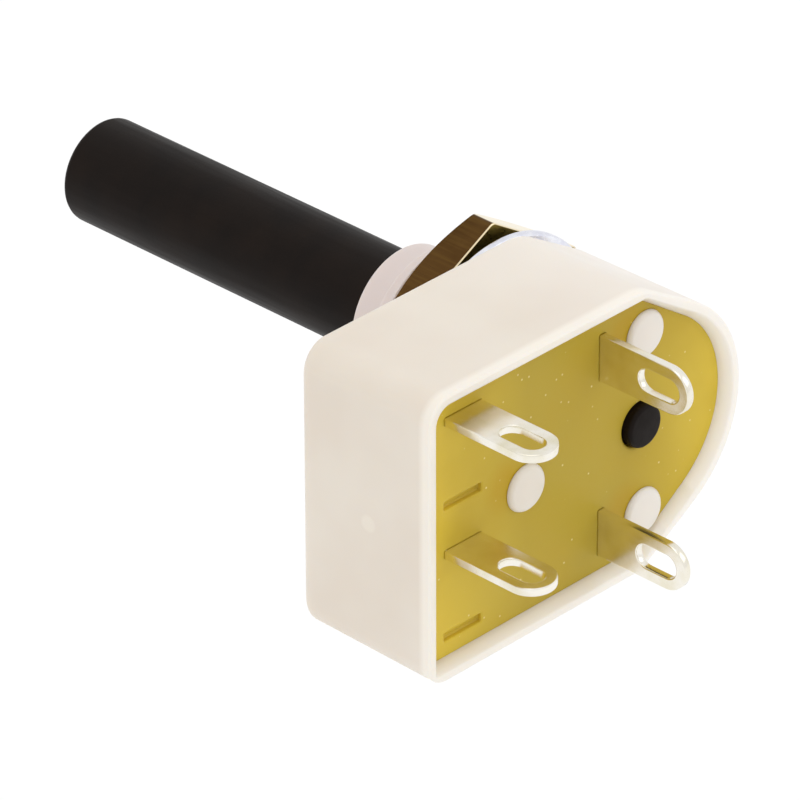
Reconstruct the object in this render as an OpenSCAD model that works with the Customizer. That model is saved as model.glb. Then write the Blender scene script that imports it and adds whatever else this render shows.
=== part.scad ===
// Two-pole rotary on/off switch for panel mounting.
// Millimetres. The spindle lies along Y through the origin, knob end towards -Y.
// The origin is on the spindle axis in the plane of the seat that the panel meets.
// +Z is up and the four solder tags leave the cover towards +Y.

/* [Housing] */
// Depth from front face to rim
body_depth = 9.85; // [9.2:0.05:10]
// Distance from spindle axis to the flat end, at the rim
flat_x = 17.35; // [17.2:0.05:18]
// Half of the height, at the rim
half_height = 8.85; // [8.8:0.05:9.4]
// Radius of the round nose, at the rim
nose_r = 7.35; // [7.3:0.05:7.8]
// Where the straight sides turn in towards the nose
shoulder_x = 0.5; // [0:0.1:1]
// Thickness of the side walls at the rim
wall = 0.95; // [0.9:0.05:1.1]
// Thickness of the front wall
front_wall = 1.4; // [1.2:0.05:1.6]
// How much each side draws in from rim to front
draft = 0.1; // [0.1:0.05:0.5]
// Rounding of the front edges
edge_r = 0.9; // [0.6:0.1:1.5]
// Radius of the lower corners of the flat end
end_corner = 1.3; // [1:0.1:1.6]

/* [Bush] */
// Crest radius of the panel thread
thread_r = 5.0; // [4.8:0.01:5.2]
// Radius of the plain nose
pilot_r = 4.05; // [3.9:0.05:4.2]
// Distance from seat to the end of the bush
bush_length = 7.8; // [7:0.1:11]
// Distance from seat to the start of the thread
thread_end = 5.9; // [4.9:0.1:6.4]
// Radius of the round seat that the panel meets
seat_r = 6.3; // [6:0.1:6.8]
// Height of the seat above the front face
seat_h = 1.1; // [0.8:0.05:1.2]

/* [Spindle] */
// Radius of the knob end
spindle_r = 3.175; // [3.1:0.005:3.2]
// Distance from seat to the knob end
spindle_reach = 31.6; // [20:0.1:60]
// Radius of the tail that shows in the cover
tail_r = 1.3; // [1.2:0.01:1.32]
// How far the tail stands out of the cover
tail_proud = 0.5; // [0.3:0.1:2]

/* [Nut and washer] */
// Nut across flats
nut_af = 14; // [13.6:0.1:15]
// Nut thickness
nut_t = 2.3; // [1.8:0.05:2.5]
// Angle of one corner of the nut from +X
nut_turn = 32.5; // [0:0.1:60]
// Gap the loose nut leaves in front of the washer
nut_slack = 0.6; // [0.02:0.01:1.5]
// Washer outer radius
washer_r = 7.4; // [7:0.05:8]
// Washer thickness
washer_t = 0.45; // [0.4:0.05:0.9]

/* [Cover] */
// Thickness of the cover plate
cover_t = 1.8; // [1.6:0.05:1.85]
// How far the cover lies below the rim
recess = 0.75; // [0.3:0.05:0.9]
// How far the lip around the cover leans outwards
lip = 0.4; // [0.1:0.05:0.5]

/* [Terminals] */
// Width of a solder tag
tag_w = 2.86; // [2.6:0.02:2.9]
// Thickness of the terminal strip
tag_t = 0.5; // [0.4:0.02:0.52]
// Distance from seat to the tips of the tags
tag_reach = 16.6; // [15.1:0.1:19]
// Width of the solder eye
eye_w = 1.45; // [1.2:0.05:1.6]
// Length of the solder eye
eye_len = 2.9; // [2.5:0.1:3.5]
// Metal left between eye and tip
eye_margin = 0.65; // [0.5:0.05:1.2]

/* [Mechanism] */
// Spindle travel between off and on, in degrees
throw_deg = 90; // [80:1:100]
// Offset of the round cam from the spindle axis
cam_offset = 0.87; // [0.7:0.01:0.88]
// Radius of the round cam
cam_r = 2.3; // [2.2:0.05:2.35]
// Thickness of the contact blades
blade_t = 0.25; // [0.2:0.01:0.28]

/* [Hidden] */
$fn = 96;

// depth stations, front to rear
inner_y = seat_h + front_wall;
rim_y = seat_h + body_depth;
cover_face = rim_y - recess;
cover_back = cover_face - cover_t;
flange_y = inner_y + 0.3;
cam_y = flange_y + 1.25;
slider_y = cam_y + 0.1;
slider_t = 1.4;
cam_end = slider_y + slider_t + 0.1;
blade_y = cam_end + 0.3;
blade_w = 2;
blade_mid = blade_y + blade_w / 2;

// outlines
rim_gap = 0.03;
ledge = 0.5;
well_corner = 1.1;

// posts that carry the cover and are headed over it
nose_posts = [[-0.24, 5.6], [-0.24, -5.6]];
mid_post = [9.16, 0];
nose_post_r = 1.45;
mid_post_r = 1.75;
peg_r = 1.1;
head_r = 1.42;
head_h = 0.36;

// bush, spindle and thrust parts
journal_r = spindle_r - 0.2;
bore_r = journal_r + 0.05;
shoulder_gap = 0.05;
spindle_edge = 0.35;
flange_r = 4.0;
bush_edge = 0.25;
lug_r = 5.3;
lug_half = 10;
detent_r = 0.9;
leaf_t = 0.3;
leaf_x = -flange_r - 0.75;
leaf_end = 2.9;

// terminals
fixed_x = 13.97;
fixed_z = 6.71;
inner_z = 1.51;
pole_pitch = fixed_z + inner_z;
common_x = 3.05;
common_z = 5.51;
slot_w = tag_w + 0.12;
slot_h = tag_t + 0.12;
shoulder_w = 3.3;
foot_end = 5.0;
foot_z = 3.85;
terminal_back = cover_back - 0.05;

// blades: each turns about its root as the slider lifts it
root_x = 4.2;
push_x = 10.4;
contact_x = 13.6;
blade_end = 14.4;
root_gap = 0.1;
blade_z = foot_z + tag_t + root_gap + blade_t / 2;
travel = 2 * cam_offset * sin(throw_deg / 2);
swing = atan(travel / 2 / (push_x - root_x));
lift = (contact_x - root_x) * tan(swing);
contact_room = fixed_z - tag_t / 2 - blade_z - lift - blade_t / 2 - 0.045;
contact_r = 0.85;

// ---- helpers: depth runs along Y, outlines are drawn with X across and Z up ----

module slab(y0, y1) {
    translate([0, y0, 0]) rotate([-90, 0, 0]) mirror([0, 1, 0])
        linear_extrude(y1 - y0) children();
}

module rod(y0, y1, r, x = 0, z = 0) {
    translate([x, y0, z]) rotate([-90, 0, 0]) cylinder(h = y1 - y0, r = r);
}

module cone(y0, y1, r0, r1, x = 0, z = 0) {
    translate([x, y0, z]) rotate([-90, 0, 0]) cylinder(h = y1 - y0, r1 = r0, r2 = r1);
}

module block(x0, x1, y0, y1, z0, z1) {
    translate([x0, y0, z0]) cube([x1 - x0, y1 - y0, z1 - z0]);
}

// polar angle at which a line from a point at distance d meets a circle of radius r
function touch_angle(x, z, r) = atan2(z, x) + acos(r / norm([x, z]));

// shield outline: flat end at +X, straight sides, tapered shoulders, round nose;
// inset moves every side inwards, upper and lower are the end corners' radii
module shield(inset, upper, lower) {
    r = nose_r - inset;
    h = half_height - inset;
    x1 = flat_x - inset;
    x0 = shoulder_x - inset * tan(17);
    a = touch_angle(x0, h, r);
    t = [r * cos(a), r * sin(a)];
    union() {
        circle(r);
        polygon([[x0, -h], [x1 - lower, -h], [x1, -h + lower], [x1, h - upper],
                 [x1 - upper, h], [x0, h], t, [t[0], -t[1]]]);
        corner(x1, h, upper, 1);
        corner(x1, h, lower, -1);
    }
}

module corner(x, h, r, side) {
    if (r > 0) translate([x - r, side * (h - r)]) circle(r);
}

// ---- housing ----

// outside of the shell: rounded front edge, drafted sides, small bevel at the rim
module shell() {
    steps = 5;
    hull() {
        for (i = [0 : steps]) let (a = 90 * i / steps)
            layer(seat_h + edge_r * (1 - cos(a)), draft + edge_r * (1 - sin(a)));
        layer(rim_y - 0.1, 0);
        layer(rim_y, 0.1);
    }
}

module layer(y, inset) {
    slab(y, y + 0.001) shield(inset, end_corner + 0.3, end_corner, $fn = 48);
}

module housing() {
    color("#EFE9DC") union() {
        difference() {
            union() {
                shell();
                rod(0, inner_y - 0.4, seat_r);
                rod(-thread_end, inner_y - 0.4, thread_r);
                rod(-bush_length + bush_edge, inner_y - 0.4, pilot_r);
                cone(-bush_length, -bush_length + bush_edge, pilot_r - bush_edge, pilot_r);
            }
            slab(inner_y, rim_y) shield(wall + ledge, well_corner, 0);
            slab(cover_back, rim_y) shield(wall, well_corner, 0);
            hull() {
                slab(cover_face, cover_face + 0.001) shield(wall, well_corner, 0);
                slab(rim_y, rim_y + 1) shield(wall - lip, well_corner, 0);
            }
            rod(-bush_length - 1, inner_y + 1, bore_r);
        }
        for (p = nose_posts) post(p, nose_post_r);
        post(mid_post, mid_post_r);
        for (s = [-1, 1]) stop_block(s);
        for (z = [fixed_z, inner_z, -inner_z, -fixed_z]) terminal_groove(z);
        for (s = [-1, 1]) spring_rib(s);
    }
}

// post up to the cover, a peg through it and the peg's formed head
module post(p, r) {
    rod(inner_y - 0.1, cover_back, r, p[0], p[1]);
    rod(cover_back - 0.1, cover_face, peg_r, p[0], p[1]);
    cone(cover_face, cover_face + head_h, head_r, head_r - 0.22, p[0], p[1]);
}

// carries a common terminal and stops the spindle's lug
module stop_block(s) {
    z = s > 0 ? 4.4 : -half_height + wall + 0.2;
    block(2.35, 4.4, inner_y - 0.1, cam_end + 0.05, z, z + half_height - wall - 4.6);
}

// grooved block that the inner end of a fixed terminal drops into
module terminal_groove(z) {
    difference() {
        block(12.3, flat_x - wall, inner_y - 0.1, inner_y + 2.2, z - 0.85, z + 0.85);
        block(12, fixed_x + tag_w / 2 + 0.05, inner_y + 0.8, inner_y + 3,
              z - tag_t / 2 - 0.03, z + tag_t / 2 + 0.03);
    }
}

// keeps one end of the detent spring against the nose wall
module spring_rib(s) {
    block(leaf_x + 0.05, leaf_x + 0.65, inner_y - 0.1, cam_y - 0.05,
          s > 0 ? leaf_end - 0.7 : -leaf_end, s > 0 ? leaf_end : 0.7 - leaf_end);
}

// ---- cover ----

module cover() {
    color("#C9B33A") difference() {
        slab(cover_back, cover_face) shield(wall + rim_gap, well_corner, 0);
        for (p = concat(nose_posts, [mid_post]))
            rod(cover_back - 1, cover_face + 1, peg_r + 0.05, p[0], p[1]);
        rod(cover_back - 1, cover_face + 1, tail_r + 0.08);
        for (z = [fixed_z, -inner_z]) tag_slot(fixed_x, z, 0, cover_t + 1);
        for (z = [-fixed_z, inner_z]) tag_slot(fixed_x, z, 0, 0.45);
        for (z = [common_z, -common_z]) tag_slot(common_x, z, 90, cover_t + 1);
    }
}

module tag_slot(x, z, turn, depth) {
    slab(cover_face - depth, cover_face + 1)
        translate([x, z]) rotate(turn) square([slot_w, slot_h], center = true);
}

// ---- spindle: knob end, journal, stop and detent flange, cam and tail in one ----

module spindle() {
    a = 180 + throw_deg / 2;
    tail_end = cover_face + tail_proud;
    color("#262120") union() {
        cone(-spindle_reach, -spindle_reach + spindle_edge, spindle_r - spindle_edge, spindle_r);
        rod(-spindle_reach + spindle_edge, -bush_length - shoulder_gap, spindle_r);
        rod(-bush_length - shoulder_gap, flange_y, journal_r);
        flange();
        rod(cam_y, cam_end, cam_r, cam_offset * cos(a), cam_offset * sin(a));
        rod(cam_y, tail_end - 0.15, tail_r);
        cone(tail_end - 0.15, tail_end, tail_r, tail_r - 0.15);
    }
}

module flange() {
    mid = throw_deg / 2;
    slab(flange_y, cam_y) difference() {
        union() {
            circle(flange_r);
            polygon([[0, 0], for (a = [mid - lug_half, mid + lug_half])
                lug_r * [cos(a), sin(a)]]);
        }
        for (a = [180, 180 + throw_deg])
            translate((flange_r + 0.35) * [cos(a), sin(a)]) circle(detent_r + 0.06);
    }
}

module thrust_washer() {
    color("#B9A77C") difference() {
        rod(inner_y, inner_y + 0.25, flange_r);
        rod(inner_y - 1, inner_y + 1, journal_r + 0.1);
    }
}

// ---- hardware on the bush ----

module panel_nut() {
    y1 = -washer_t - nut_slack;
    y0 = y1 - nut_t;
    face_r = nut_af / 2 - 0.35;
    color("#9A7B3C") difference() {
        intersection() {
            translate([0, y0, 0]) rotate([-90, 0, 0]) rotate(-nut_turn)
                cylinder(h = nut_t, r = nut_af / sqrt(3), $fn = 6);
            cone(y0, y1 + 1, face_r, face_r + (nut_t + 1) / tan(30));
        }
        rod(y0 - 1, y1 + 1, thread_r + 0.05);
    }
}

module panel_washer() {
    color("#B8BDC2") difference() {
        rod(-washer_t, 0, washer_r);
        rod(-washer_t - 1, 1, thread_r + 0.15);
    }
}

// ---- slider: window round the cam, slot round the middle post, two forks ----

module slider() {
    z0 = -travel / 2;
    window = cam_r + 0.07;
    left = -cam_offset - window - 0.95;
    color("#D8CBB0") translate([0, 0, z0]) union() {
        slab(slider_y, slider_y + slider_t) difference() {
            union() {
                translate([left, -window - 0.9]) square([11.3 - left, 2 * window + 1.8]);
                translate([9.7, -5.35]) square([1.6, 10.7]);
            }
            translate([-cam_offset - window - 0.05, -window])
                square([2 * window + cam_offset, 2 * window]);
            translate(mid_post) post_slot(mid_post_r + 0.06, travel + 0.2);
        }
        for (z = [blade_z, blade_z - pole_pitch]) fork(z);
    }
}

module post_slot(r, l) {
    square([2 * r, l], center = true);
    for (s = [-1, 1]) translate([0, s * l / 2]) circle(r);
}

// two fingers, one each side of a blade
module fork(z) {
    gap = blade_t / 2 + 0.12;
    y0 = slider_y + slider_t - 0.1;
    y1 = cover_back - 0.4;
    for (s = [-1, 1])
        block(push_x - 0.4, push_x + 0.4, y0, y1,
              s > 0 ? z + gap : z - gap - 0.65, s > 0 ? z + gap + 0.65 : z - gap);
}

// ---- detent spring: a leaf with a rounded bump that drops into the flange's notches ----

module detent_spring() {
    bump_x = -flange_r - 0.35;
    back = leaf_x - leaf_t;
    color("#C8CCD0") slab(flange_y + 0.1, cam_y - 0.15) difference() {
        union() {
            translate([back, -leaf_end]) square([leaf_t, 2 * leaf_end]);
            translate([bump_x, 0]) circle(detent_r);
            translate([back, -detent_r]) square([bump_x - back, 2 * detent_r]);
        }
        translate([bump_x, 0]) circle(detent_r - leaf_t);
        translate([back - 1, leaf_t - detent_r])
            square([bump_x - back + 1, 2 * (detent_r - leaf_t)]);
    }
}

// ---- terminals ----

// solder tag outline: width across, length from y0 to the round tip, with its eye
module tag_outline(y0) {
    r = tag_w / 2;
    e = eye_w / 2;
    eye_tip = tag_reach - eye_margin;
    difference() {
        union() {
            translate([-r, y0]) square([tag_w, tag_reach - r - y0]);
            translate([0, tag_reach - r]) circle(r);
        }
        for (y = [eye_tip - e, eye_tip - eye_len + e]) translate([0, y]) circle(e);
        translate([-e, eye_tip - eye_len + e]) square([eye_w, eye_len - eye_w]);
    }
}

// flat strip: tag outside, shoulders under the cover, inner end in its groove
module fixed_terminal(z) {
    color("#D9D9D4") translate([fixed_x, 0, z - tag_t / 2]) linear_extrude(tag_t) union() {
        tag_outline(inner_y + 0.85);
        translate([-shoulder_w / 2, terminal_back - 1.1]) square([shoulder_w, 1.1]);
    }
}

// upright tag with a foot folded out under the blade
module common_terminal(z) {
    foot = z < 0 ? foot_z - pole_pitch : foot_z;
    color("#D9D9D4") union() {
        translate([common_x + tag_t / 2, 0, z]) rotate([0, -90, 0])
            linear_extrude(tag_t) tag_outline(cam_end + 0.1);
        block(common_x - tag_t / 2, common_x + tag_t / 2, cam_end + 0.1, terminal_back,
              min(foot, z - tag_w / 2), max(foot + tag_t, z + tag_w / 2));
        difference() {
            block(common_x - tag_t / 2, foot_end, cam_end + 0.2, terminal_back, foot, foot + tag_t);
            translate([root_x, blade_mid, foot - 1]) cylinder(h = 3, r = 0.5);
        }
    }
}

// contact rivet head on the underside of a fixed terminal
module fixed_contact(z) {
    h = contact_room * 0.52;
    top = z - tag_t / 2;
    color("#C9CBC8") translate([contact_x, blade_mid, top - h]) union() {
        cylinder(h = 0.12, r1 = contact_r - 0.12, r2 = contact_r);
        translate([0, 0, 0.12]) cylinder(h = h - 0.12, r = contact_r);
    }
}

// ---- moving contacts: drawn level, then set to the off position about the root ----

module at_rest(z) {
    translate([root_x, 0, z]) rotate([0, swing, 0]) children();
}

module blade(z) {
    reach = blade_end - root_x;
    color("#C08A4E") at_rest(z) difference() {
        block(-0.65, reach, blade_y, blade_y + blade_w, -blade_t / 2, blade_t / 2);
        translate([0, blade_mid, -1]) cylinder(h = 2, r = 0.62);
        translate([contact_x - root_x, blade_mid, -1]) cylinder(h = 2, r = 0.45);
    }
}

// contact rivet through the blade's end: head above, shank and clench below
module moving_contact(z) {
    h = contact_room * 0.48;
    color("#C9CBC8") at_rest(z) translate([contact_x - root_x, blade_mid, 0]) union() {
        translate([0, 0, -blade_t / 2]) cylinder(h = blade_t, r = 0.45);
        translate([0, 0, blade_t / 2]) cylinder(h = h - 0.12, r = contact_r);
        translate([0, 0, blade_t / 2 + h - 0.12])
            cylinder(h = 0.12, r1 = contact_r, r2 = contact_r - 0.12);
        translate([0, 0, -blade_t / 2 - 0.2]) cylinder(h = 0.2, r = 0.65);
    }
}

// rivet that holds the blade's root to the foot of its terminal
module blade_rivet(z) {
    foot = z - blade_t / 2 - root_gap - tag_t;
    top = z + blade_t / 2 + root_gap;
    color("#B8BDC2") translate([root_x, blade_mid, 0]) union() {
        translate([0, 0, foot]) cylinder(h = top - foot, r = 0.5);
        translate([0, 0, top]) cylinder(h = 0.3, r1 = 0.8, r2 = 0.6);
        translate([0, 0, foot - 0.25]) cylinder(h = 0.25, r1 = 0.65, r2 = 0.75);
    }
}

housing();
cover();
spindle();
thrust_washer();
panel_nut();
panel_washer();
slider();
detent_spring();
fixed_terminal(fixed_z);  // fixed_terminal_upper
fixed_terminal(-inner_z);  // fixed_terminal_lower
common_terminal(common_z);  // common_terminal_upper
common_terminal(-common_z);  // common_terminal_lower
fixed_contact(fixed_z);  // fixed_contact_upper
fixed_contact(-inner_z);  // fixed_contact_lower
blade(blade_z);  // blade_upper
blade(blade_z - pole_pitch);  // blade_lower
moving_contact(blade_z);  // moving_contact_upper
moving_contact(blade_z - pole_pitch);  // moving_contact_lower
blade_rivet(blade_z);  // blade_rivet_upper
blade_rivet(blade_z - pole_pitch);  // blade_rivet_lower
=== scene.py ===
"""Two-pole rotary switch with its panel nut and washer, finished over the packed CAD frame."""

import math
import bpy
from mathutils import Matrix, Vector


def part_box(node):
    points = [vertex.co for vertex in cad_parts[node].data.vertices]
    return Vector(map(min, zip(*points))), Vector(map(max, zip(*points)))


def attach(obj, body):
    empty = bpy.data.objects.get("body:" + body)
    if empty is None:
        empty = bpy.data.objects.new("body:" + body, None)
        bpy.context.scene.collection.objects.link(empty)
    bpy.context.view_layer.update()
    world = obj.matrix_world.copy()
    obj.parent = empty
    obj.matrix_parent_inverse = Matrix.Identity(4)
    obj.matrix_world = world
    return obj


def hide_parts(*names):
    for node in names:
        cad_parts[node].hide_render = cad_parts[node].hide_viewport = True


bl_info = {
    "name": "Rotary Switch",
    "version": (1, 0, 0),
    "blender": (4, 5, 0),
    "location": "View3D > Sidebar > Switch",
    "description": "Makes a two-pole rotary switch: housing, cover, spindle, tags, nut and washer",
    "category": "Object",
}

import bmesh
import bpy
from bpy.props import FloatProperty, FloatVectorProperty, PointerProperty
from mathutils import Matrix, Vector

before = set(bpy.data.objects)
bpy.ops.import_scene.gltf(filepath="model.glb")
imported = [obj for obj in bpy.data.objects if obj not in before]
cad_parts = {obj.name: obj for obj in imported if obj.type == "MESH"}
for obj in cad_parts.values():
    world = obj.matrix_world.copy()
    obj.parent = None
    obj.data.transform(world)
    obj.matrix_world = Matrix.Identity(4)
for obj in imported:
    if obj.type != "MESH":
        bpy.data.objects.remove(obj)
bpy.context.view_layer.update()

MM = 0.001
TURN = 2 * math.pi

# stations along Y in millimetres: the seat is at 0 and the tags point to +Y
THREAD_END = -5.9
NUT_REAR = -1.05
FRONT_FACE = 1.1
BLOCK_FOOT = 2.4
INNER_FACE = 2.5
SHOULDER_FRONT = 7.25
SHOULDER_BACK = 8.35
COVER_BACK = 8.4

# radii in millimetres
SPINDLE_RADIUS = 3.175
BORE_RADIUS = 3.025
JOURNAL_RADIUS = 2.975
TAIL_RADIUS = 1.3
PEG_SHANK = 1.1

# height of the lip over the cover, and thickness of a tag, in millimetres
LIP_HEIGHT = 0.75
TAG_THICKNESS = 0.5

# axes of the pegs that hold the cover, X and Z in millimetres
PEGS = ((-0.24, 5.6), (-0.24, -5.6), (9.16, 0))

# Z of the upper common tag in millimetres; the lower one mirrors it
COMMON_Z = 5.51

# one corner of the nut, in degrees from +X towards +Z
NUT_TURN = 32.5


# ---- numbers and colours ----


def mm(metres):
    return metres / MM


def extent(node):
    """Lowest and highest corner of a CAD node, in millimetres."""
    low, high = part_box(node)
    return low / MM, high / MM


def middle(node, axis):
    low, high = extent(node)
    return (low[axis] + high[axis]) / 2


def linear(hex_colour):
    """sRGB hex colour as linear RGBA."""
    parts = [int(hex_colour[i : i + 2], 16) / 255 for i in (1, 3, 5)]
    return [c / 12.92 if c <= 0.04045 else ((c + 0.055) / 1.055) ** 2.4 for c in parts] + [1.0]


def repeats(size_mm):
    """Texture scale, in Object coordinates, at which one feature is about size_mm across."""
    return 1 / (size_mm * MM)


# ---- shared steps of modelling, all in millimetres ----


def flat_face(bm, points):
    return bm.faces.new([bm.verts.new(p) for p in points])


def round_corners(bm, verts, size, segments=5):
    """Rounds corners of a flat face and returns the face that is left."""
    made = bmesh.ops.bevel(
        bm, geom=verts, offset=size, offset_type="OFFSET", segments=segments, profile=0.5,
        affect="VERTICES", material=-1, clamp_overlap=False,
    )
    return made["verts"][0].link_faces[0]


def open_ring(bm, face):
    """Turns a face into its bare outline and returns the edges."""
    edges = list(face.edges)
    bmesh.ops.delete(bm, geom=[face], context="FACES_ONLY")
    return edges


def stack(bm, rings):
    """Joins matching outlines into a wall and returns the first and the last outline."""
    for a, b in zip(rings, rings[1:]):
        bmesh.ops.bridge_loops(bm, edges=a + b)
    return rings[0], rings[-1]


def fill(bm, *rings):
    """Closes the flat area between outlines.

    Material index 1 marks the new faces as flat until the piece is done.
    """
    edges = [e for ring in rings for e in ring]
    made = bmesh.ops.triangle_fill(bm, use_beauty=True, edges=edges)
    for face in [g for g in made["geom"] if isinstance(g, bmesh.types.BMFace)]:
        face.material_index = 1


def arc(bm, start, centre, axis, angle, steps):
    """Sweeps a corner point round a centre and returns the points in order."""
    before = set(bm.verts)
    bmesh.ops.spin(
        bm, geom=[start], cent=centre, axis=axis, dvec=(0, 0, 0), angle=angle, steps=steps,
        use_merge=False, use_normal_flip=False, use_duplicate=False,
    )
    outward = start.co - Vector(centre)
    across = Vector(axis).cross(outward)

    def swept(vert):
        reach = vert.co - Vector(centre)
        return math.atan2(reach.dot(across), reach.dot(outward)) % TURN

    return [start] + sorted((v for v in bm.verts if v not in before), key=swept)


def circle_ring(bm, y, radius, x=0.0, z=0.0, segments=96):
    place = Matrix.Translation((x, y, z)) @ Matrix.Rotation(math.pi / 2, 4, "X")
    made = bmesh.ops.create_circle(
        bm, cap_ends=True, segments=segments, radius=radius, matrix=place
    )
    return open_ring(bm, made["verts"][0].link_faces[0])


def turned(bm, outline, x=0.0, z=0.0, steps=96):
    """Turns a closed outline of (radius, y, corner rounding) about a line along Y."""
    corners = [bm.verts.new((x + radius, y, z)) for radius, y, _ in outline]
    face = bm.faces.new(corners)
    for corner, (_, _, size) in zip(corners, outline):
        if size:
            face = round_corners(bm, [corner], size)
    ring = open_ring(bm, face)
    on_axis = [e for e in ring if all(abs(v.co.x - x) < 1e-6 for v in e.verts)]
    verts = list({v for e in ring for v in e.verts})
    edges = [e for e in ring if e not in on_axis]
    bmesh.ops.delete(bm, geom=on_axis, context="EDGES")
    bmesh.ops.spin(
        bm, geom=verts + edges, cent=(x, 0, z), axis=(0, 1, 0), dvec=(0, 0, 0), angle=TURN,
        steps=steps, use_merge=True, use_normal_flip=False, use_duplicate=False,
    )
    poles = [v for v in bm.verts if math.hypot(v.co.x - x, v.co.z - z) < 1e-5]
    bmesh.ops.remove_doubles(bm, verts=poles, dist=1e-4)


def block(bm, low, high, edge=0.12):
    """A moulded or folded block with slightly rounded edges."""
    size = Vector(high) - Vector(low)
    place = Matrix.Translation((Vector(low) + Vector(high)) / 2) @ Matrix.Diagonal((*size, 1))
    made = bmesh.ops.create_cube(bm, size=1.0, matrix=place)
    edges = list({e for v in made["verts"] for e in v.link_edges})
    bmesh.ops.bevel(
        bm, geom=edges, offset=edge, offset_type="OFFSET", segments=2, profile=0.5,
        affect="EDGES", material=-1, clamp_overlap=True,
    )


def make_piece(bm, name, body, material, nodes, crease=32):
    """Turns the mesh into an object in metres that rides on a body and replaces CAD nodes."""
    bmesh.ops.recalc_face_normals(bm, faces=bm.faces)
    for face in bm.faces:
        face.smooth = face.material_index == 0
        face.material_index = 0
    for edge in bm.edges:
        edge.smooth = len(edge.link_faces) == 2 and edge.calc_face_angle() < math.radians(crease)
    bmesh.ops.scale(bm, vec=(MM, MM, MM), verts=bm.verts)
    mesh = bpy.data.meshes.new(name)
    bm.to_mesh(mesh)
    bm.free()
    mesh.materials.append(material)
    piece = bpy.data.objects.new(name, mesh)
    bpy.context.scene.collection.objects.link(piece)
    even = piece.modifiers.new("even_shading", "WEIGHTED_NORMAL")
    even.keep_sharp = True
    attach(piece, body)
    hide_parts(*nodes)
    return piece


# ---- materials ----


def add_node(tree, kind, values=None, links=None, **settings):
    """Adds a node with its settings, its unlinked values and the outputs that feed it."""
    node = tree.nodes.new(kind)
    for key, value in settings.items():
        setattr(node, key, value)
    for socket, value in (values or {}).items():
        node.inputs[socket].default_value = value
    for socket, source in (links or {}).items():
        tree.links.new(source, node.inputs[socket])
    return node


def new_surface(name, values):
    """Starts a material; returns it with its tree, its shader and the Object coordinates."""
    material = bpy.data.materials.new(name)
    material.use_nodes = True
    tree = material.node_tree
    tree.nodes.clear()
    shader = add_node(tree, "ShaderNodeBsdfPrincipled", values)
    add_node(tree, "ShaderNodeOutputMaterial", links={"Surface": shader.outputs["BSDF"]})
    coords = add_node(tree, "ShaderNodeTexCoord").outputs["Object"]
    return material, tree, shader, coords


def noise(tree, coords, size_mm, detail=2.0, stretch=(1, 1, 1)):
    place = add_node(tree, "ShaderNodeMapping", {"Scale": stretch}, {"Vector": coords})
    made = add_node(
        tree, "ShaderNodeTexNoise", {"Scale": repeats(size_mm), "Detail": detail},
        {"Vector": place.outputs["Vector"]},
    )
    return made.outputs["Fac"]


def remap(tree, value, low, high, to_low, to_high):
    made = add_node(
        tree, "ShaderNodeMapRange",
        {"From Min": low, "From Max": high, "To Min": to_low, "To Max": to_high},
        {"Value": value}, clamp=True,
    )
    return made.outputs["Result"]


def blend(tree, amount, a, b):
    """Mixes two colours, each a hex value or an output."""
    made = add_node(tree, "ShaderNodeMix", {}, {0: amount}, data_type="RGBA")
    for socket, colour in ((6, a), (7, b)):
        if isinstance(colour, str):
            made.inputs[socket].default_value = linear(colour)
        elif isinstance(colour, (list, tuple)):
            made.inputs[socket].default_value = colour
        else:
            tree.links.new(colour, made.inputs[socket])
    return made.outputs[2]


def product(tree, a, b):
    made = add_node(tree, "ShaderNodeMath", {}, {0: a, 1: b}, operation="MULTIPLY")
    return made.outputs[0]


def specks(tree, coords, spacing_mm, size_mm, share):
    """1 in small round spots about size_mm across, in a share of cells spacing_mm apart."""
    cells = add_node(
        tree, "ShaderNodeTexVoronoi", {"Scale": repeats(spacing_mm), "Randomness": 1.0},
        {"Vector": coords},
    )
    near = remap(tree, cells.outputs["Distance"], 0, size_mm / spacing_mm, 1, 0)
    chosen = add_node(
        tree, "ShaderNodeMath", {1: share}, {0: cells.outputs["Color"]}, operation="LESS_THAN"
    )
    return product(tree, near, chosen.outputs[0])


def away(tree, coords, x, y, z):
    """Distance from a point given in millimetres."""
    return add_node(
        tree, "ShaderNodeVectorMath", {1: (x * MM, y * MM, z * MM)}, {0: coords},
        operation="DISTANCE",
    ).outputs["Value"]


def relief(tree, shader, height, depth_mm, under=None):
    """Feeds a height into the shader's normal, over an earlier relief if one is given."""
    links = {"Height": height}
    if under is not None:
        links["Normal"] = under
    bump = add_node(
        tree, "ShaderNodeBump", {"Strength": 1.0, "Distance": depth_mm * MM}, links
    )
    tree.links.new(bump.outputs["Normal"], shader.inputs["Normal"])
    return bump.outputs["Normal"]


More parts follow.
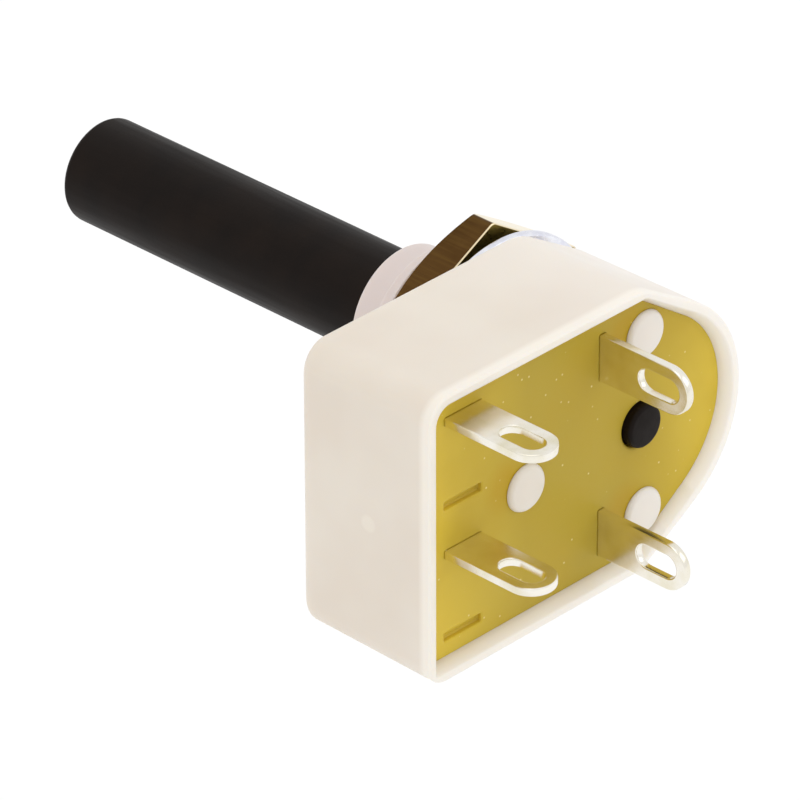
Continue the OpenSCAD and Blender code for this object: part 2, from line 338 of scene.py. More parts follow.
def ivory_nylon(colour, name="ivory_nylon"):
    """Unfilled nylon from a satin mould: soft, milky and faintly uneven in tone."""
    material, tree, shader, coords = new_surface(
        name,
        {
            "IOR": 1.53, "Specular IOR Level": 0.42, "Subsurface Weight": 0.35,
            "Subsurface Radius": (1.0, 0.85, 0.62), "Subsurface Scale": 0.9 * MM,
        },
    )
    cloud = noise(tree, coords, 7.0, 2.0)
    tone = blend(tree, remap(tree, cloud, 0.35, 0.65, 0, 1), list(colour) + [1.0], "#E1D6C8")
    place = add_node(tree, "ShaderNodeSeparateXYZ", links={"Vector": coords})
    across, along = place.outputs["X"], place.outputs["Y"]
    # painted light: the thin nose is painted paler as a painted glow, and the lip round the cover
    # is painted paler over the shade that falls in it, except at the peg heads; the bush is greyer
    tone = blend(tree, remap(tree, across, -3 * MM, 8 * MM, 0.6, 0), tone, "#F4EEE8")
    lip = remap(tree, along, 10.1 * MM, 10.5 * MM, 0, 0.5)
    for x, z in PEGS:
        peg = remap(tree, away(tree, coords, x, 10.3, z), 1.5 * MM, 1.8 * MM, 0, 1)
        lip = product(tree, lip, peg)
    tone = blend(tree, lip, tone, "#FBF6EE")
    tone = blend(tree, remap(tree, along, -1.6 * MM, -0.4 * MM, 1, 0), tone, "#DACDC8")
    # gate mark of about 1 mm in the middle of the flat end
    gate = away(tree, coords, 17.3, 6.4, -0.3)
    mark = remap(tree, gate, 0.4 * MM, 0.6 * MM, 1, 0)
    tone = blend(tree, remap(tree, gate, 0.4 * MM, 0.6 * MM, 0.4, 0), tone, "#EFE8DA")
    dots = specks(tree, coords, 3.1, 0.07, 0.16)
    tree.links.new(blend(tree, dots, tone, "#6A5C50"), shader.inputs["Base Color"])
    tree.links.new(remap(tree, cloud, 0.3, 0.7, 0.36, 0.48), shader.inputs["Roughness"])
    # mould texture of about 0.15 mm, and the slow sink waves of a moulding
    grain = relief(tree, shader, noise(tree, coords, 0.15, 3.0), 0.0022)
    waves = relief(tree, shader, noise(tree, coords, 4.5, 1.0), 0.02, grain)
    relief(tree, shader, mark, 0.012, waves)
    return material


def yellow_polycarbonate(colour):
    """Tinted polycarbonate, moulded: light goes a little way in, so its edges glow."""
    material, tree, shader, coords = new_surface(
        "yellow_polycarbonate",
        {
            "IOR": 1.58, "Specular IOR Level": 0.2, "Subsurface Weight": 0.25,
            "Subsurface Radius": (1.0, 0.8, 0.2), "Subsurface Scale": 0.8 * MM,
        },
    )
    across = add_node(tree, "ShaderNodeSeparateXYZ", links={"Vector": coords}).outputs["X"]
    drift = noise(tree, coords, 6.0, 3.0)
    # painted light: the cover is painted brighter towards the nose and the flat end, as a painted
    # glow, and greyer olive in the middle
    nose = remap(tree, across, -6.5 * MM, 1.0 * MM, 1, 0)
    end = remap(tree, across, 9.0 * MM, 16.5 * MM, 0, 1)
    ends = add_node(tree, "ShaderNodeMath", {}, {0: nose, 1: end}, operation="MAXIMUM").outputs[0]
    tone = blend(tree, ends, "#B49B2E", list(colour) + [1.0])
    tone = blend(tree, remap(tree, drift, 0.38, 0.68, 0, 0.55), tone, "#B99B2C")
    # painted shadow: a darker orange patch beside each peg head, up to 2 mm out
    for x, z in PEGS:
        peg = away(tree, coords, x + 1.5, 10.2, z + 0.8)
        tone = blend(tree, remap(tree, peg, 0.7 * MM, 1.9 * MM, 0.5, 0), tone, "#BC9408")
    flecks = specks(tree, coords, 0.9, 0.08, 0.6)
    tone = blend(tree, flecks, tone, "#F0E7A8")
    dust = specks(tree, coords, 1.9, 0.12, 0.24)
    tree.links.new(blend(tree, dust, tone, "#E9DE95"), shader.inputs["Base Color"])
    tree.links.new(remap(tree, drift, 0.3, 0.7, 0.42, 0.56), shader.inputs["Roughness"])
    grain = relief(tree, shader, noise(tree, coords, 0.22, 3.0), 0.005)
    relief(tree, shader, noise(tree, coords, 2.6, 1.0), 0.02, grain)
    return material


def black_acetal(colour):
    """Black acetal: dense brown-black, a waxy satin sheen and fine lengthwise marks."""
    material, tree, shader, coords = new_surface(
        "black_acetal", {"IOR": 1.48, "Specular IOR Level": 0.1}
    )
    draw = noise(tree, coords, 0.5, 3.0, (1, 0.06, 1))
    cloud = noise(tree, coords, 3.0, 3.0)
    tone = blend(tree, remap(tree, cloud, 0.35, 0.7, 0, 1), list(colour) + [1.0], "#19110C")
    lint = specks(tree, coords, 2.3, 0.07, 0.1)
    tree.links.new(blend(tree, lint, tone, "#B9B2AA"), shader.inputs["Base Color"])
    tree.links.new(remap(tree, draw, 0.3, 0.7, 0.4, 0.54), shader.inputs["Roughness"])
    # lengthwise marks of about 0.5 mm over a 0.2 mm grain
    marks = relief(tree, shader, draw, 0.006)
    relief(tree, shader, noise(tree, coords, 0.2, 2.0), 0.004, marks)
    return material


def drawn_brass(colour):
    """Brass bar drawn to a hexagon, painted dark brown as a painted dark reflection; two flats are
    painted bright as a painted reflection.
    """
    material, tree, shader, coords = new_surface("drawn_brass", {"Metallic": 1.0})
    # drawing lines are near 0.1 mm; 0.22 mm keeps them wide enough to show
    lines = noise(tree, coords, 0.22, 4.0, (1, 0.03, 1))
    patina = noise(tree, coords, 2.4, 3.0)
    tone = blend(tree, remap(tree, patina, 0.35, 0.65, 0, 1), list(colour) + [1.0], "#503719")
    tone = blend(tree, remap(tree, lines, 0.45, 0.75, 0, 0.5), tone, "#705427")
    # painted highlight: a bright cream band of 0.07 mm along the burr round the rear edge, then
    # the rear face
    along = add_node(tree, "ShaderNodeSeparateXYZ", links={"Vector": coords}).outputs["Y"]
    painted_burr_highlight = remap(tree, along, (NUT_REAR - 0.075) * MM, (NUT_REAR - 0.06) * MM, 0, 1)
    tone = blend(tree, painted_burr_highlight, tone, "#F3E2BC")
    # painted reflection: the rear face is painted dark olive, for the shaded housing and washer it
    # faces
    rear = remap(tree, along, (NUT_REAR - 0.01) * MM, (NUT_REAR - 0.002) * MM, 0, 1)
    tone = blend(tree, rear, tone, "#8A7634")
    # painted reflection: two opposite flats, 7 mm from the axis, painted bright
    facing = math.radians(NUT_TURN + 90)
    square = (math.cos(facing), 0, math.sin(facing))
    flat = add_node(
        tree, "ShaderNodeVectorMath", {1: square}, {0: coords}, operation="DOT_PRODUCT"
    ).outputs["Value"]
    reach = add_node(tree, "ShaderNodeMath", {}, {0: flat}, operation="ABSOLUTE").outputs[0]
    painted_flat_reflection = remap(tree, reach, 6.94 * MM, 6.98 * MM, 0, 1)
    tree.links.new(blend(tree, painted_flat_reflection, tone, "#FBF2DC"), shader.inputs["Base Color"])
    tree.links.new(remap(tree, lines, 0.3, 0.7, 0.26, 0.44), shader.inputs["Roughness"])
    relief(tree, shader, lines, 0.008)
    return material


def zinc_plate(colour):
    """Passivated bright zinc on stamped steel: cool grey, faintly mottled, softly reflecting."""
    material, tree, shader, coords = new_surface("zinc_plate", {"Metallic": 1.0})
    mottle = noise(tree, coords, 0.9, 4.0)
    tone = blend(tree, remap(tree, mottle, 0.35, 0.65, 0, 1), list(colour) + [1.0], "#DEDFEC")
    tree.links.new(tone, shader.inputs["Base Color"])
    tree.links.new(remap(tree, mottle, 0.3, 0.7, 0.2, 0.34), shader.inputs["Roughness"])
    relief(tree, shader, noise(tree, coords, 0.35, 3.0), 0.004)
    return material


def silver_plate(colour):
    """Silver plate on rolled brass strip: bright, nearly white, with faint rolling lines."""
    material, tree, shader, coords = new_surface("silver_plate", {"Metallic": 1.0})
    rolled = noise(tree, coords, 0.3, 3.0, (1, 0.05, 1))
    cloud = noise(tree, coords, 1.6, 3.0)
    tone = blend(tree, remap(tree, cloud, 0.4, 0.7, 0, 1), list(colour) + [1.0], "#E6DFC6")
    tree.links.new(tone, shader.inputs["Base Color"])
    tree.links.new(remap(tree, rolled, 0.3, 0.7, 0.17, 0.23), shader.inputs["Roughness"])
    marks = relief(tree, shader, rolled, 0.002)
    relief(tree, shader, cloud, 0.008, marks)
    return material


def rolled_metal(name, colour, shade, rough):
    """Spring strip or rivet metal inside the switch: lightly brushed and a little uneven."""
    material, tree, shader, coords = new_surface(name, {"Metallic": 1.0})
    brushed = noise(tree, coords, 0.2, 3.0, (0.1, 1, 1))
    tone = blend(tree, remap(tree, brushed, 0.35, 0.65, 0, 1), colour, shade)
    tree.links.new(tone, shader.inputs["Base Color"])
    tree.links.new(remap(tree, brushed, 0.3, 0.7, rough, rough + 0.12), shader.inputs["Roughness"])
    relief(tree, shader, brushed, 0.003)
    return material


# ---- sizes and colours a user would change ----


def length(name, description, default):
    return FloatProperty(
        name=name, description=description, default=default * MM, min=0.0, unit="LENGTH",
        precision=4,
    )


def colour(name, description, default):
    return FloatVectorProperty(
        name=name, description=description, default=linear(default)[:3], min=0.0, max=1.0,
        size=3, subtype="COLOR",
    )


class HousingSettings(bpy.types.PropertyGroup):
    """Shell, bush and pegs"""

    edge: length("Front edge", "Rounding of the front edges", 0.9)
    corner: length("End corner", "Rounding of the lower corner of the flat end", 1.3)
    wall: length("Wall", "Thickness of the wall beside the cover", 0.95)
    lip: length("Lip", "How far the lip around the cover leans outwards", 0.4)
    peg: length("Peg head", "Radius of the formed peg heads", 1.42)
    thread_crest: length("Thread", "Crest radius of the panel thread", 5.0)
    thread_pitch: length("Pitch", "Pitch of the panel thread", 0.75)
    tint: colour("Housing", "Colour of the moulded housing", "#E5DCCF")


class CoverSettings(bpy.types.PropertyGroup):
    """Cover plate"""

    lip: length("Lip", "Rounding round each opening in the cover", 0.14)
    recess: length("Recess", "Depth of the two unused tag slots", 0.34)
    tint: colour("Cover", "Colour of the cover plate", "#D9BB38")


class SpindleSettings(bpy.types.PropertyGroup):
    """Spindle"""

    end_edge: length("End edge", "Rounding of the knob end", 0.38)
    tint: colour("Spindle", "Colour of the spindle", "#120C09")


class HardwareSettings(bpy.types.PropertyGroup):
    """Nut and washer"""

    flats: length("Across flats", "Width of the nut across its flats", 14.0)
    # the nut's default brown is darker than bare brass: painted dark reflection
    nut_tint: colour("Nut", "Colour of the brass nut", "#5C4120")
    washer_tint: colour("Washer", "Colour of the zinc plate", "#F3F4FA")


class TagSettings(bpy.types.PropertyGroup):
    """Solder tags"""

    width: length("Width", "Width of a tag", 2.86)
    eye_width: length("Eye width", "Width of the solder eye", 1.45)
    eye_length: length("Eye length", "Length of the solder eye", 2.9)
    eye_margin: length("Eye margin", "Metal left between the eye and the tip", 0.65)
    stamped_edge: length("Stamped edge", "Rounding left by the stamping tool", 0.07)
    tint: colour("Plate", "Colour of the silver plate", "#F4F0E6")


class StageSettings(bpy.types.PropertyGroup):
    """Camera, floor and light"""

    azimuth: FloatProperty(
        name="Azimuth", description="Camera bearing about the vertical axis",
        default=math.radians(133.873), subtype="ANGLE",
    )
    elevation: FloatProperty(
        name="Elevation", description="Camera height above the horizon",
        default=math.radians(30.55), subtype="ANGLE",
    )
    roll: FloatProperty(
        name="Roll", description="Camera roll about its own axis",
        default=math.radians(-0.207), subtype="ANGLE",
    )
    distance: length("Distance", "Distance from the camera to its target", 433.64)
    focal: FloatProperty(name="Focal length", description="Lens in millimetres", default=360.0)
    floor_drop: length("Floor", "How far the floor lies under the spindle axis", 70.0)
    floor_tint: colour("Floor", "Colour of the floor", "#FFFFFF")


# ---- housing ----


def shield_ring(bm, y, inset, upper, lower, shoulder=0.15):
    """Outline seen along the spindle: flat end, straight sides, tapered to a round nose."""
    low, high = extent("housing")
    nose = -low.x - inset
    half = high.z - inset
    end = high.x - inset
    taper = math.radians(34)
    turn_in = 0.5 - inset * math.tan(taper / 2)
    touch = math.atan2(half, turn_in) + math.acos(nose / math.hypot(turn_in, half))
    start = bm.verts.new((nose * math.cos(touch), y, nose * math.sin(touch)))
    around = arc(bm, start, (0, y, 0), (0, -1, 0), TURN - 2 * touch, 72)
    bends = [
        bm.verts.new((x, y, z))
        for x, z in ((turn_in, -half), (end, -half), (end, half), (turn_in, half))
    ]
    bm.faces.new(around + bends)
    round_corners(bm, [bends[0], bends[3]], shoulder, 4)
    round_corners(bm, [bends[1]], lower, 8)
    return open_ring(bm, round_corners(bm, [bends[2]], upper, 8))


def thread_ridge(bm, root, crest, start, end, pitch, steps=60):
    """Right-hand thread ridge wound along Y, fading out at both ends."""
    count = round((end - start) / pitch * steps)
    base = root - 0.1
    before = set(bm.verts)
    face = flat_face(
        bm,
        [
            (base, start - 0.42 * pitch, 0), (crest, start - 0.08 * pitch, 0),
            (crest, start + 0.08 * pitch, 0), (base, start + 0.42 * pitch, 0),
        ],
    )
    ring = open_ring(bm, face)
    verts = list({v for e in ring for v in e.verts})
    made = bmesh.ops.spin(
        bm, geom=verts + ring, cent=(0, 0, 0), axis=(0, 1, 0),
        dvec=(0, (end - start) / count, 0), angle=TURN * count / steps, steps=count,
        use_merge=False, use_normal_flip=False, use_duplicate=False,
    )
    last = [e for e in made["geom_last"] if isinstance(e, bmesh.types.BMEdge)]
    for rim in (ring, last):
        fill(bm, rim)
    for vert in set(bm.verts) - before:
        radius = math.hypot(vert.co.x, vert.co.z)
        fade = min(vert.co.y - start, end - vert.co.y) / (0.6 * pitch) + 0.3
        wanted = base + (radius - base) * min(max(fade, 0.0), 1.0)
        vert.co.x *= wanted / radius
        vert.co.z *= wanted / radius


def build_shell(bm, s):
    """Hollow shell: rounded front, outward leaning lip and the well that takes the cover."""
    face = extent("cover")[1].y
    rim = face + LIP_HEIGHT
    edge, wall = mm(s.edge), mm(s.wall)
    draft, bush_root = 0.1, 4.5
    levels = []
    for i in range(9):
        a = math.pi / 2 * i / 8
        y = FRONT_FACE + edge * (1 - math.cos(a))
        levels.append((y, draft + edge * (1 - math.sin(a))))
    levels += [(rim - 0.14, 0.0), (rim - 0.08, 0.015), (rim - 0.03, 0.05), (rim, 0.12)]
    corner = mm(s.corner)
    outside = stack(
        bm, [shield_ring(bm, y, inset, corner + 0.3, corner, 0.7) for y, inset in levels]
    )
    lip = wall - mm(s.lip)
    well = [
        (rim, lip - 0.08), (rim - 0.02, lip - 0.03), (rim - 0.07, lip + 0.03), (face, wall),
        (COVER_BACK, wall), (COVER_BACK, wall + 0.5), (INNER_FACE, wall + 0.5),
    ]
    inside = stack(bm, [shield_ring(bm, y, inset, 1.1, 0.15) for y, inset in well])
    hole = stack(bm, [circle_ring(bm, y, bush_root) for y in (INNER_FACE, FRONT_FACE)])
    fill(bm, outside[1], inside[0])
    fill(bm, inside[1], hole[0])
    fill(bm, outside[0], hole[1])


def build_bush(bm, s):
    """Round seat, panel thread and plain nose, with the spindle's bearing bore through them."""
    end = extent("housing")[0].y
    crest = mm(s.thread_crest)
    pitch = mm(s.thread_pitch)
    root = crest - 0.61 * pitch
    tube, seat, nose, seat_back = 4.45, 6.3, 4.05, 2.1
    turned(
        bm,
        [
            (BORE_RADIUS, INNER_FACE, 0), (tube, INNER_FACE, 0), (tube, seat_back, 0),
            (seat, seat_back, 0), (seat, 0, 0.14), (root, 0, 0), (root, THREAD_END, 0.18),
            (nose, THREAD_END, 0.08), (nose, end, 0.3), (BORE_RADIUS, end, 0.12),
        ],
        steps=128,
    )
    thread_ridge(bm, root, crest, start=-5.55, end=-0.4, pitch=pitch)


def build_posts(bm, s):
    """Posts up to the cover, each with a peg through it and a formed head over it."""
    face = extent("cover")[1].y
    head, top = mm(s.peg), 8.38
    for (x, z), radius in zip(PEGS, (1.45, 1.45, 1.75)):
        turned(
            bm,
            [
                (0, BLOCK_FOOT, 0), (radius, BLOCK_FOOT, 0), (radius, top, 0),
                (PEG_SHANK, top, 0), (PEG_SHANK, face, 0), (head, face, 0.05),
                (head - 0.03, face + 0.33, 0.28), (0, face + 0.37, 0),
            ],
            x, z, 64,
        )


def build_ribs(bm):
    """Moulded blocks that stop or hold the inner pieces."""
    # stops for the spindle's lug, which also carry the common tags
    for z in (4.4, -7.7):
        block(bm, (2.35, BLOCK_FOOT, z), (4.4, 5.7, z + 3.3))
    # grooves for the inner ends of the fixed tags
    for z in (6.71, 1.51, -1.51, -6.71):
        block(bm, (12.3, BLOCK_FOOT, z - 0.85), (16.4, 3.3, z + 0.85))
        for low, high in ((-0.85, -0.28), (0.28, 0.85)):
            block(bm, (12.3, 3.2, z + low), (16.4, 4.7, z + high))
    # ribs that keep the ends of the detent spring in place
    for z in (2.2, -2.9):
        block(bm, (-4.7, BLOCK_FOOT, z), (-4.1, 4.0, z + 0.7))


class SWITCH_OT_housing(bpy.types.Operator):
    """Make the moulded housing with its bush, seat, pegs and ribs"""

    bl_idname = "switch.housing"
    bl_label = "Housing"

    def execute(self, context):
        s = context.scene.switch_housing
        bm = bmesh.new()
        build_shell(bm, s)
        build_bush(bm, s)
        build_posts(bm, s)
        build_ribs(bm)
        make_piece(
            bm, "housing_moulding", "case", ivory_nylon(s.tint), ["housing"]
        )
        return {"FINISHED"}


# ---- cover ----


def slot_ring(bm, y, grow, x, z, upright):
    """Outline of a tag slot in the cover, 2.85 by 0.49 mm before it grows."""
    half = [1.425 + grow, 0.245 + grow]
    if upright:
        half.reverse()
    corners = [
        bm.verts.new((x + sx * half[0], y, z + sz * half[1]))
        for sx, sz in ((-1, -1), (1, -1), (1, 1), (-1, 1))
    ]
    bm.faces.new(corners)
    return open_ring(bm, round_corners(bm, corners, 0.08 + max(grow, 0), 3))


class SWITCH_OT_cover(bpy.types.Operator):
    """Make the cover plate with its openings and its two blind slots"""

    bl_idname = "switch.cover"
    bl_label = "Cover"

    def execute(self, context):
        s = context.scene.switch_cover
        low, high = extent("cover")
        back, face = low.y + 0.02, high.y
        lip, recess = mm(s.lip), mm(s.recess)
        gap = mm(context.scene.switch_housing.wall) - 0.005
        bm = bmesh.new()
        edge = [(back, gap), (face - 0.03, gap), (face, gap + 0.03)]
        plate = stack(bm, [shield_ring(bm, y, inset, 1.1, 0.15) for y, inset in edge])
        through = [(lip, face), (0.3 * lip, face - 0.3 * lip), (0, face - lip), (0, back)]
        blind = through[:3] + [(0, face - recess + 0.1), (-0.1, face - recess)]
        tops, bottoms = [plate[1]], [plate[0]]
        holes = [(x, z, PEG_SHANK + 0.05) for x, z in PEGS] + [(0, 0, TAIL_RADIUS + 0.08)]
        for x, z, radius in holes:
            rings = [circle_ring(bm, y, radius + grow, x, z, 64) for grow, y in through]
            top, bottom = stack(bm, rings)
            tops.append(top)
            bottoms.append(bottom)
        fixed_x, common_x = middle("fixed_terminal_upper", 0), 3.05
        slots = [(fixed_x, middle("fixed_terminal_" + e, 2), False) for e in ("upper", "lower")]
        slots += [(common_x, z, True) for z in (COMMON_Z, -COMMON_Z)]
        for x, z, upright in slots:
            rings = [slot_ring(bm, y, 0.4 * g, x, z, upright) for g, y in through]
            top, bottom = stack(bm, rings)
            tops.append(top)
            bottoms.append(bottom)
        for x, z, upright in slots[:2]:
            rings = [slot_ring(bm, y, g, x, -z, upright) for g, y in blind]
            top, floor = stack(bm, rings)
            tops.append(top)
            fill(bm, floor)
        fill(bm, *tops)
        fill(bm, *bottoms)
        make_piece(
            bm, "cover_plate", "case", yellow_polycarbonate(s.tint), ["cover"]
        )
        return {"FINISHED"}


# ---- spindle ----


class SWITCH_OT_spindle(bpy.types.Operator):
    """Make the spindle: plain shaft, journal, inner flange and cam, and the tail in the cover"""

    bl_idname = "switch.spindle"
    bl_label = "Spindle"

    def execute(self, context):
        s = context.scene.switch_spindle
        low, high = extent("spindle")
        shoulder = extent("housing")[0].y - 0.05
        front, rear = 0.5, 6.2
        bm = bmesh.new()
        # between front and rear the flange, its lug and notches and the cam keep the CAD shape
        bm.from_mesh(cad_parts["spindle"].data)
        bmesh.ops.scale(bm, vec=(1 / MM,) * 3, verts=bm.verts)
        bmesh.ops.remove_doubles(bm, verts=bm.verts, dist=0.002)
        for y, side in ((front, -1), (rear, 1)):
            everything = list(bm.verts) + list(bm.edges) + list(bm.faces)
            bmesh.ops.bisect_plane(
                bm, geom=everything, plane_co=(0, y, 0), plane_no=(0, side, 0), clear_outer=True
            )
            cut = [e for e in bm.edges if e.is_boundary]
            fill(bm, cut)
        bmesh.ops.dissolve_limit(
            bm, angle_limit=math.radians(1), verts=bm.verts, edges=bm.edges
        )
        turned(
            bm,
            [
                (0, low.y, 0), (SPINDLE_RADIUS, low.y, mm(s.end_edge)),
                (SPINDLE_RADIUS, shoulder, 0.1), (JOURNAL_RADIUS, shoulder, 0),
                (JOURNAL_RADIUS, front, 0), (0, front, 0),
            ],
            steps=128,
        )
        turned(
            bm,
            [
                (0, rear, 0), (TAIL_RADIUS, rear, 0), (TAIL_RADIUS, high.y, 0.24),
                (0, high.y, 0),
            ],
            steps=64,
        )
        make_piece(
            bm, "spindle_moulding", "spindle", black_acetal(s.tint), ["spindle"]
        )
        return {"FINISHED"}


# ---- nut and washer ----


def grow_ring(bm, ring, move):
    """Extrudes an outline, moves the new one and returns its edges."""
    made = bmesh.ops.extrude_edge_only(bm, edges=ring)["geom"]
    for vert in [g for g in made if isinstance(g, bmesh.types.BMVert)]:
        vert.co = move(vert.co)
    return [g for g in made if isinstance(g, bmesh.types.BMEdge)]


class SWITCH_OT_nut(bpy.types.Operator):
    """Make the hexagon panel nut with its chamfered front and plain bore"""

    bl_idname = "switch.nut"
    bl_label = "Panel nut"

    def execute(self, context):
        s = context.scene.switch_hardware
        low, high = extent("panel_nut")
        front, rear = low.y, high.y
        flats = mm(s.flats)
        face_radius = flats / 2 - 0.35
        bore, mouth, draw_in = 5.05, 5.4, 0.988
        bm = bmesh.new()
        place = (
            Matrix.Rotation(-math.radians(NUT_TURN - 30), 4, "Y")
            @ Matrix.Rotation(math.pi / 2, 4, "X")
        )
        hexagon = bmesh.ops.create_circle(
            bm, cap_ends=True, segments=6, radius=flats / math.sqrt(3), matrix=place
        )
        face = round_corners(bm, hexagon["verts"], 0.22, 3)
        ring = open_ring(bm, face)
        sides = [e for e in ring if e.calc_length() > 2]
        bmesh.ops.subdivide_edges(bm, edges=sides, cuts=15)
        ring = list(bm.edges)
        bmesh.ops.translate(bm, vec=(0, rear, 0), verts=bm.verts)
        bmesh.ops.scale(bm, vec=(draw_in, 1, draw_in), verts=bm.verts)

        def at(radius, y):
            def move(co):
                ratio = radius / math.hypot(co.x, co.z)
                return Vector((co.x * ratio, y, co.z * ratio))

            return move

        def chamfer(co):
            over = math.hypot(co.x, co.z) - face_radius
            return Vector((co.x, front + max(over, 0.05) * math.tan(math.radians(30)), co.z))

        def widen(co):
            return Vector((co.x / draw_in, rear - 0.09, co.z / draw_in))

        edges = grow_ring(bm, ring, widen)
        edges = grow_ring(bm, edges, chamfer)
        edges = grow_ring(bm, edges, at(face_radius, front + 0.03))
        edges = grow_ring(bm, edges, at(face_radius - 0.06, front))
        edges = grow_ring(bm, edges, at(mouth, front))
        edges = grow_ring(bm, edges, at(bore, front + 0.3))
        edges = grow_ring(bm, edges, at(bore, rear - 0.3))
        edges = grow_ring(bm, edges, at(mouth, rear))
        bmesh.ops.bridge_loops(bm, edges=edges + ring)
        make_piece(
            bm, "panel_nut_turned", "nut", drawn_brass(s.nut_tint), ["panel_nut"]
        )
        return {"FINISHED"}


class SWITCH_OT_washer(bpy.types.Operator):
    """Make the stamped plain washer"""

    bl_idname = "switch.washer"
    bl_label = "Washer"

    def execute(self, context):
        s = context.scene.switch_hardware
        low, high = extent("panel_washer")
        bore = 5.15
        bm = bmesh.new()
        turned(
            bm,
            [
                (bore, low.y, 0.06), (high.x, low.y, 0.08), (high.x, high.y, 0.22),
                (bore, high.y, 0.15),
            ],
            steps=144,
        )
        make_piece(
            bm, "panel_washer_stamped", "washer", zinc_plate(s.washer_tint),
            ["panel_washer"],
        )
        return {"FINISHED"}


# ---- solder tags ----


def tag_ring(bm, z, inset, tip, half, inner, shoulder):
    """Outline of a flat tag that lies across X and along Y, with its round tip."""
    half, inner = half - inset, inner + inset
    start = bm.verts.new((half, tip - half - inset, z))
    tip_arc = arc(bm, start, (0, tip - half - inset, z), (0, 0, 1), math.pi, 32)
    wide = 1.65 - inset
    left = [(half, inner)]
    if shoulder:
        front, back = SHOULDER_FRONT + inset, SHOULDER_BACK - inset
        left += [(half, front), (wide, front), (wide, back), (half, back)]
    down = [bm.verts.new((-x, y, z)) for x, y in reversed(left)]
    up = [bm.verts.new((x, y, z)) for x, y in left]
    return open_ring(bm, bm.faces.new(tip_arc + down + up))


def eye_ring(bm, z, grow, end, width, long):
    """Outline of the solder eye, a slot with round ends."""
    radius = width / 2
    ends = (end - radius, end - long + radius)
    verts = []
    for y, side in zip(ends, (1, -1)):
        start = bm.verts.new((side * (radius + grow), y, z))
        verts += arc(bm, start, (0, y, z), (0, 0, 1), math.pi, 20)
    return open_ring(bm, bm.faces.new(verts))


def build_tag(bm, s, inner, shoulder):
    """Flat tag with its eye; a fixed tag has shoulders that stop it behind the cover."""
    tip = extent("fixed_terminal_upper")[1].y
    edge = mm(s.stamped_edge)
    levels = [
        (edge, 0), (0.3 * edge, 0.3 * edge), (0, edge), (0, TAG_THICKNESS - edge),
        (0.3 * edge, TAG_THICKNESS - 0.3 * edge), (edge, TAG_THICKNESS),
    ]
    half = mm(s.width) / 2
    outer = stack(
        bm, [tag_ring(bm, z, inset, tip, half, inner, shoulder) for inset, z in levels]
    )
    end = tip - mm(s.eye_margin)
    eye = stack(
        bm,
        [eye_ring(bm, z, grow, end, mm(s.eye_width), mm(s.eye_length)) for grow, z in levels],
    )
    for side in (0, 1):
        fill(bm, outer[side], eye[side])


class SWITCH_OT_tags(bpy.types.Operator):
    """Make the four solder tags with their eyes and the feet inside the housing"""

    bl_idname = "switch.tags"
    bl_label = "Solder tags"

    def execute(self, context):
        s = context.scene.switch_tags
        plate = silver_plate(s.tint)
        foot_front = 5.85
        for end in ("upper", "lower"):
            node = "fixed_terminal_" + end
            low, high = extent(node)
            bm = bmesh.new()
            build_tag(bm, s, low.y, True)
            place = ((low.x + high.x) / 2, 0, low.z)
            bmesh.ops.translate(bm, vec=place, verts=bm.verts)
            make_piece(bm, "fixed_tag_" + end, "case", plate, [node])
        for end, z, foot in (("upper", COMMON_Z, 3.85), ("lower", -COMMON_Z, -4.37)):
            node = "common_terminal_" + end
            low, high = extent(node)
            bm = bmesh.new()
            build_tag(bm, s, low.y, False)
            turn = Matrix.Rotation(math.pi / 2, 4, "Y")
            bmesh.ops.rotate(bm, cent=(0, 0, 0), matrix=turn, verts=bm.verts)
            bmesh.ops.translate(bm, vec=(low.x, 0, z), verts=bm.verts)
            block(bm, low, (low.x + TAG_THICKNESS, SHOULDER_BACK, high.z), 0.05)
            corner = (high.x, SHOULDER_BACK, foot + TAG_THICKNESS)
            block(bm, (low.x, foot_front, foot), corner, 0.05)
            make_piece(bm, "common_tag_" + end, "case", plate, [node])
        return {"FINISHED"}


# ---- pieces inside the housing, whose CAD shape stays ----


class SWITCH_OT_inner(bpy.types.Operator):
    """Finish the contact blades, rivets, slider, thrust washer and detent spring"""

    bl_idname = "switch.inner"
    bl_label = "Inner parts"

    def execute(self, context):
        bronze = rolled_metal("phosphor_bronze", linear("#C48A52"), "#A97442", 0.24)
        steel = rolled_metal("spring_steel", linear("#C3C7CB"), "#A9ADB2", 0.2)
        silver = rolled_metal("contact_silver", linear("#E7E8E6"), "#CFCDC8", 0.18)
        zinc = rolled_metal("rivet_zinc", linear("#C9CCD4"), "#AEB1BC", 0.26)
        nylon = ivory_nylon(linear("#E2D6BB")[:3], "slider_nylon")
        finishes = {
            "thrust_washer": bronze, "blade_upper": bronze, "blade_lower": bronze,
            "detent_spring": steel, "slider": nylon,
            "fixed_contact_upper": silver, "fixed_contact_lower": silver,
            "moving_contact_upper": silver, "moving_contact_lower": silver,
            "blade_rivet_upper": zinc, "blade_rivet_lower": zinc,
        }
        for node, finish in finishes.items():
            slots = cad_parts[node].data.materials
            slots.clear()
            slots.append(finish)
        return {"FINISHED"}


# ---- stage ----


def soft_light(name, aim, offset, size, watts, tint="#FFFFFF"):
    """A square soft light at an offset from the aim point, facing it."""
    light = bpy.data.lights.new(name, "AREA")
    light.shape = "SQUARE"
    light.size = size
    light.energy = watts
    light.color = linear(tint)[:3]
    lamp = bpy.data.objects.new(name, light)
    lamp.location = aim + Vector(offset)
    lamp.rotation_euler = Vector(offset).to_track_quat("Z", "Y").to_euler()
    bpy.context.scene.collection.objects.link(lamp)


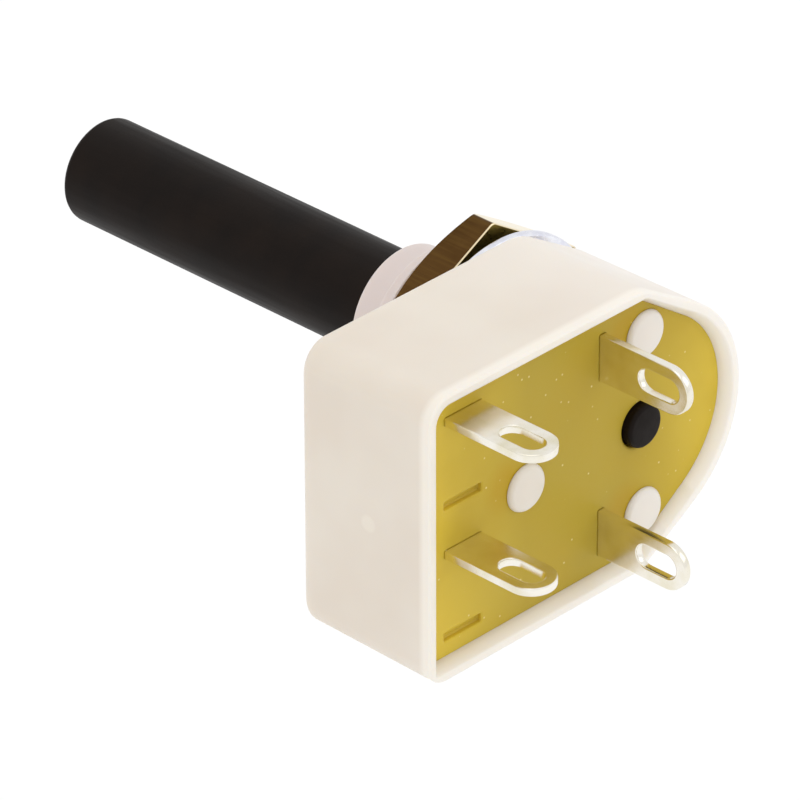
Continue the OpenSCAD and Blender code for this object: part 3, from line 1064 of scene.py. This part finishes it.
class SWITCH_OT_stage(bpy.types.Operator):
    """Make the floor, the soft studio light and the camera"""

    bl_idname = "switch.stage"
    bl_label = "Stage"

    def execute(self, context):
        s = context.scene.switch_stage
        scene = context.scene
        bm = bmesh.new()
        bmesh.ops.create_grid(bm, x_segments=4, y_segments=4, size=3.0)
        bmesh.ops.translate(bm, vec=(0, 0, -s.floor_drop), verts=bm.verts)
        mesh = bpy.data.meshes.new("floor")
        bm.to_mesh(mesh)
        bm.free()
        material, tree, shader, coords = new_surface("floor_paint", {"Roughness": 0.9})
        tone = blend(
            tree, noise(tree, coords, 300.0), list(s.floor_tint) + [1.0], "#FCFCFC"
        )
        tree.links.new(tone, shader.inputs["Base Color"])
        mesh.materials.append(material)
        floor = bpy.data.objects.new("floor", mesh)
        scene.collection.objects.link(floor)

        world = bpy.data.worlds.new("studio")
        world.use_nodes = True
        world.node_tree.nodes["Background"].inputs["Color"].default_value = linear("#FFFFFF")
        world.node_tree.nodes["Background"].inputs["Strength"].default_value = 0.92
        scene.world = world
        aim = Vector((9.3, 1.1, 1.8)) * MM
        soft_light("top_light", aim, (0.15, 0.1, 0.9), 0.8, 1.3)
        soft_light("rear_light", aim, (-0.5, 0.6, 0.5), 0.5, 0.45)

        back = Vector(
            (
                math.sin(s.azimuth) * math.cos(s.elevation),
                -math.cos(s.azimuth) * math.cos(s.elevation),
                math.sin(s.elevation),
            )
        )
        right = Vector((0, 0, 1)).cross(back).normalized()
        up = back.cross(right)
        roll = Matrix.Rotation(s.roll, 3, back)
        axes = Matrix((roll @ right, roll @ up, back)).transposed().to_4x4()
        target = Vector((9.316, 1.1, 1.804)) * MM
        data = bpy.data.cameras.new("camera")
        data.lens = s.focal
        data.sensor_width = 36
        data.clip_start = 0.01
        data.clip_end = 20
        camera = bpy.data.objects.new("camera", data)
        camera.matrix_world = Matrix.Translation(target + back * s.distance) @ axes
        scene.collection.objects.link(camera)
        scene.camera = camera
        scene.view_settings.view_transform = "Standard"
        return {"FINISHED"}


# ---- panel and registration ----

SETTINGS = {
    "switch_housing": HousingSettings,
    "switch_cover": CoverSettings,
    "switch_spindle": SpindleSettings,
    "switch_hardware": HardwareSettings,
    "switch_tags": TagSettings,
    "switch_stage": StageSettings,
}
OPERATORS = (
    SWITCH_OT_housing, SWITCH_OT_cover, SWITCH_OT_spindle, SWITCH_OT_nut, SWITCH_OT_washer,
    SWITCH_OT_tags, SWITCH_OT_inner, SWITCH_OT_stage,
)


class SWITCH_PT_panel(bpy.types.Panel):
    bl_label = "Rotary Switch"
    bl_space_type = "VIEW_3D"
    bl_region_type = "UI"
    bl_category = "Switch"

    def draw(self, context):
        for key, group in SETTINGS.items():
            box = self.layout.box()
            box.label(text=group.__doc__)
            for name in group.__annotations__:
                box.prop(getattr(context.scene, key), name)
        for operator in OPERATORS:
            self.layout.operator(operator.bl_idname)


def register():
    for key, group in SETTINGS.items():
        bpy.utils.register_class(group)
        setattr(bpy.types.Scene, key, PointerProperty(type=group))
    for cls in OPERATORS + (SWITCH_PT_panel,):
        bpy.utils.register_class(cls)


def unregister():
    for cls in reversed(OPERATORS + (SWITCH_PT_panel,)):
        bpy.utils.unregister_class(cls)
    for key, group in SETTINGS.items():
        delattr(bpy.types.Scene, key)
        bpy.utils.unregister_class(group)


def main():
    register()
    bpy.ops.switch.stage()
    bpy.ops.switch.housing()
    bpy.ops.switch.cover()
    bpy.ops.switch.spindle()
    bpy.ops.switch.nut()
    bpy.ops.switch.washer()
    bpy.ops.switch.tags()
    bpy.ops.switch.inner()


if __name__ == "__main__":
    main()
